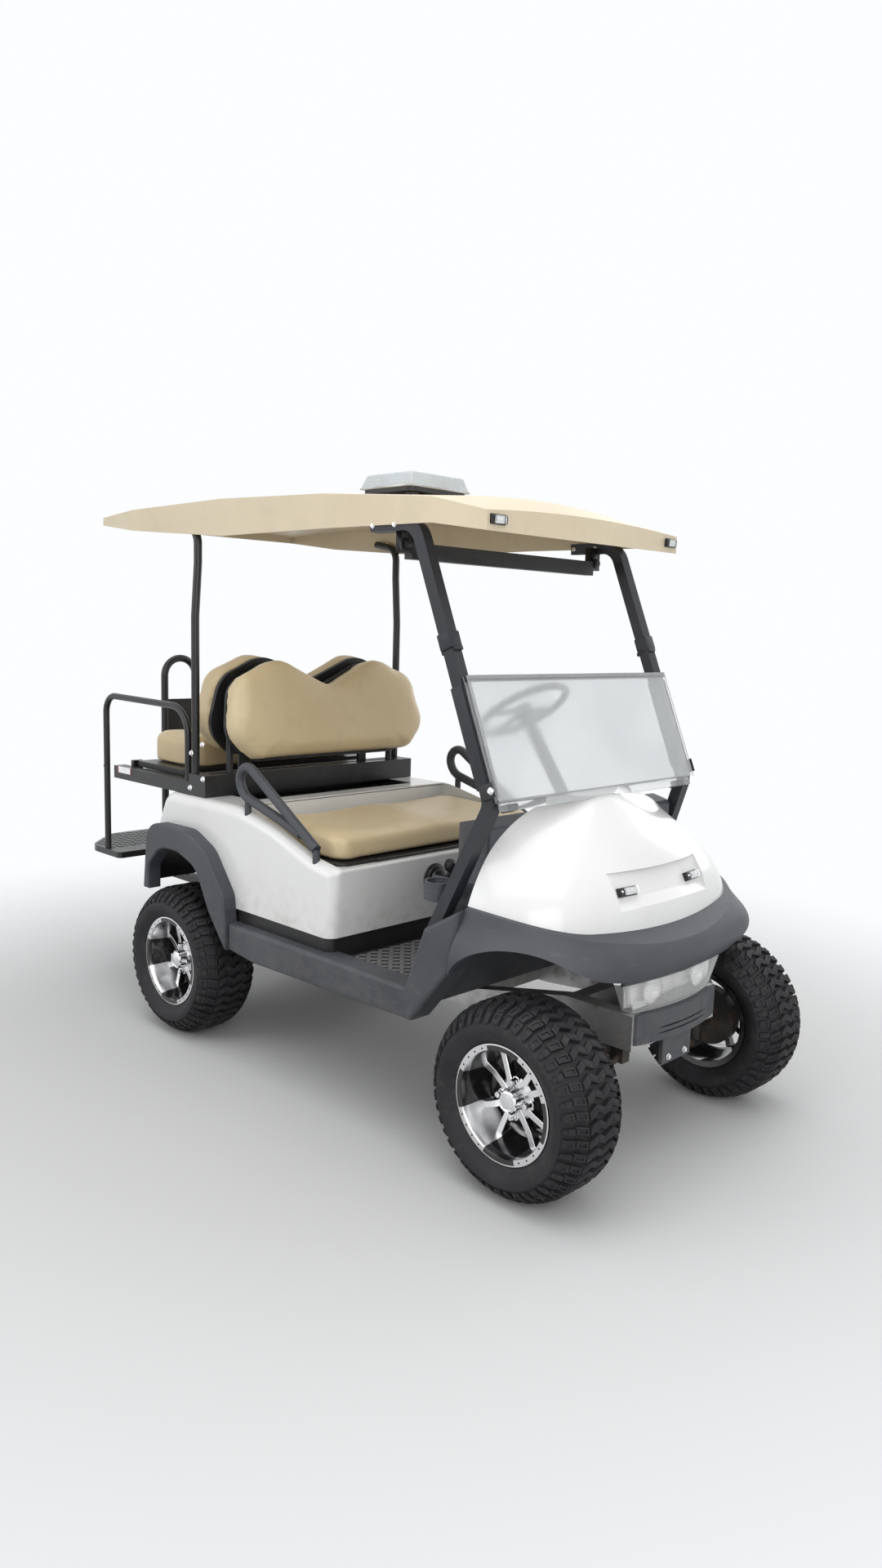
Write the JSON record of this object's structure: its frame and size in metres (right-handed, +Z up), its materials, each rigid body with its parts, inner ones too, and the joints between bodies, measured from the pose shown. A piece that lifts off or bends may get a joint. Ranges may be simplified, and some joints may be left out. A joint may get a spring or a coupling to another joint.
{
  "type": "golf cart",
  "caption": "Raised electric golf cart with knobby tyres, canopy roof on struts, fold-down windscreen, front bench and rear flip seat over a step.",
  "frame": {"origin": "on the ground under the middle of the overall length and width", "axes": "+X forward, +Y to the driver's left, +Z up"},
  "size_m": [2.828, 1.258, 2.062],
  "materials": {
    "white_body": "gloss",
    "beige_roof": "satin",
    "beige_vinyl": "soft sheen",
    "black_steel": "satin black",
    "dark_plastic": "moulded grain",
    "black_plastic": "matte",
    "clear_sheet": "clear acrylic",
    "clear_lens": "clear ribbed lens",
    "red_lens": "gloss",
    "tyre": "matte rubber",
    "machined_rim": "machined and black",
    "aluminium_frame": "brushed",
    "dark_steel": "grimy",
    "grey_mat": "diamond pattern",
    "battery_case": "matte"
  },
  "bodies": {
    "chassis": {"chassis_frame": "aluminium_frame", "front_suspension": "dark_steel", "steering_rack": "dark_steel", "rear_axle": "dark_steel", "leaf_springs": "dark_steel", "battery_pack": "battery_case", "floor_pan": "dark_plastic", "sills": "dark_plastic", "rear_flares": "dark_plastic", "front_fascia": "dark_plastic", "dashboard": "dark_plastic", "lower_bumper": "dark_plastic", "floor_mat": "grey_mat", "rear_body": "white_body", "front_cowl": "white_body", "kick_panel": "black_plastic", "bag_tray": "black_plastic", "mirror": "black_plastic", "seatback_shells": "black_plastic", "light_bar_base": "black_plastic", "suction_mount": "black_plastic", "windscreen_hinge": "black_plastic", "wheel_liners": "black_plastic", "headlight_lens": "clear_lens", "marker_lamps": "clear_lens", "light_bar_lens": "clear_lens", "tail_lights": "red_lens", "front_struts": "black_steel", "rear_struts": "black_steel", "steering_column": "black_steel", "pedals": "black_steel", "seat_frame": "black_steel", "grab_bars": "black_steel", "hip_rails": "black_steel", "rear_step": "black_steel", "rear_hoop": "black_steel", "windscreen_lower": "clear_sheet", "windscreen_upper": "clear_sheet", "roof": "beige_roof", "front_seatback": "beige_vinyl", "rear_seatback": "beige_vinyl"},
    "knuckle_right": {"knuckle_right": "dark_steel"},
    "knuckle_left": {"knuckle_left": "dark_steel"},
    "tie_rod_right": {"tie_rod_right": "dark_steel"},
    "tie_rod_left": {"tie_rod_left": "dark_steel"},
    "rack": {"rack_bar": "dark_steel"},
    "steering_wheel": {"steering_wheel": "black_plastic"},
    "front_wheel_right": {"front_rim_right": "machined_rim", "front_tyre_right": "tyre"},
    "front_wheel_left": {"front_rim_left": "machined_rim", "front_tyre_left": "tyre"},
    "rear_wheel_right": {"rear_rim_right": "machined_rim", "rear_tyre_right": "tyre"},
    "rear_wheel_left": {"rear_rim_left": "machined_rim", "rear_tyre_left": "tyre"},
    "front_seat": {"front_cushion": "beige_vinyl", "front_seat_board": "black_plastic"},
    "flip_seat": {"rear_deck": "black_steel", "rear_cushion": "beige_vinyl"}
  },
  "joints": [
    {"name": "steer_right", "type": "hinge", "parent": "chassis", "child": "knuckle_right", "pos_m": [1.136, -0.38, 0.278], "axis": [0, 0, 1], "range_deg": [-28, 28]},
    {"name": "tie_rod_right_pivot", "type": "hinge", "parent": "knuckle_right", "child": "tie_rod_right", "pos_m": [1.016, -0.38, 0.295], "axis": [0, 0, 1], "range_deg": [-28.5, 28.5]},
    {"name": "front_wheel_right_spin", "type": "hinge", "parent": "knuckle_right", "child": "front_wheel_right", "pos_m": [1.136, -0.502, 0.278], "axis": [0, 1, 0], "continuous": true},
    {"name": "rear_wheel_right_spin", "type": "hinge", "parent": "chassis", "child": "rear_wheel_right", "pos_m": [-0.528, -0.497, 0.278], "axis": [0, 1, 0], "continuous": true},
    {"name": "steer_left", "type": "hinge", "parent": "chassis", "child": "knuckle_left", "pos_m": [1.136, 0.38, 0.278], "axis": [0, 0, 1], "range_deg": [-28, 28]},
    {"name": "tie_rod_left_pivot", "type": "hinge", "parent": "knuckle_left", "child": "tie_rod_left", "pos_m": [1.016, 0.38, 0.295], "axis": [0, 0, 1], "range_deg": [-28.5, 28.5]},
    {"name": "front_wheel_left_spin", "type": "hinge", "parent": "knuckle_left", "child": "front_wheel_left", "pos_m": [1.136, 0.502, 0.278], "axis": [0, 1, 0], "continuous": true},
    {"name": "rear_wheel_left_spin", "type": "hinge", "parent": "chassis", "child": "rear_wheel_left", "pos_m": [-0.528, 0.497, 0.278], "axis": [0, 1, 0], "continuous": true},
    {"name": "rack_slide", "type": "slide", "parent": "chassis", "child": "rack", "axis": [0, 1, 0], "range_m": [-0.0566, 0.0566]},
    {"name": "steering_wheel_turn", "type": "hinge", "parent": "chassis", "child": "steering_wheel", "pos_m": [0.423, 0.27, 1.259], "axis": [-0.5736, 0, 0.8192], "range_deg": [-337, 337]},
    {"name": "front_seat_tilt", "type": "hinge", "parent": "chassis", "child": "front_seat", "pos_m": [0.335, 0, 0.778], "axis": [0, 1, 0], "range_deg": [0, 60]},
    {"name": "flip_seat_turn", "type": "hinge", "parent": "chassis", "child": "flip_seat", "pos_m": [-0.999, 0, 0.967], "axis": [0, -1, 0], "range_deg": [0, 180]}
  ],
  "couplings": [
    {"joint": "steer_left", "follows": "steer_right", "ratio": 1},
    {"joint": "tie_rod_right_pivot", "follows": "steer_right", "ratio": -1},
    {"joint": "tie_rod_left_pivot", "follows": "steer_right", "ratio": -1},
    {"joint": "rack_slide", "follows": "steer_right", "m_per_rad": -0.1153},
    {"joint": "steering_wheel_turn", "follows": "steer_right", "ratio": 12}
  ]
}
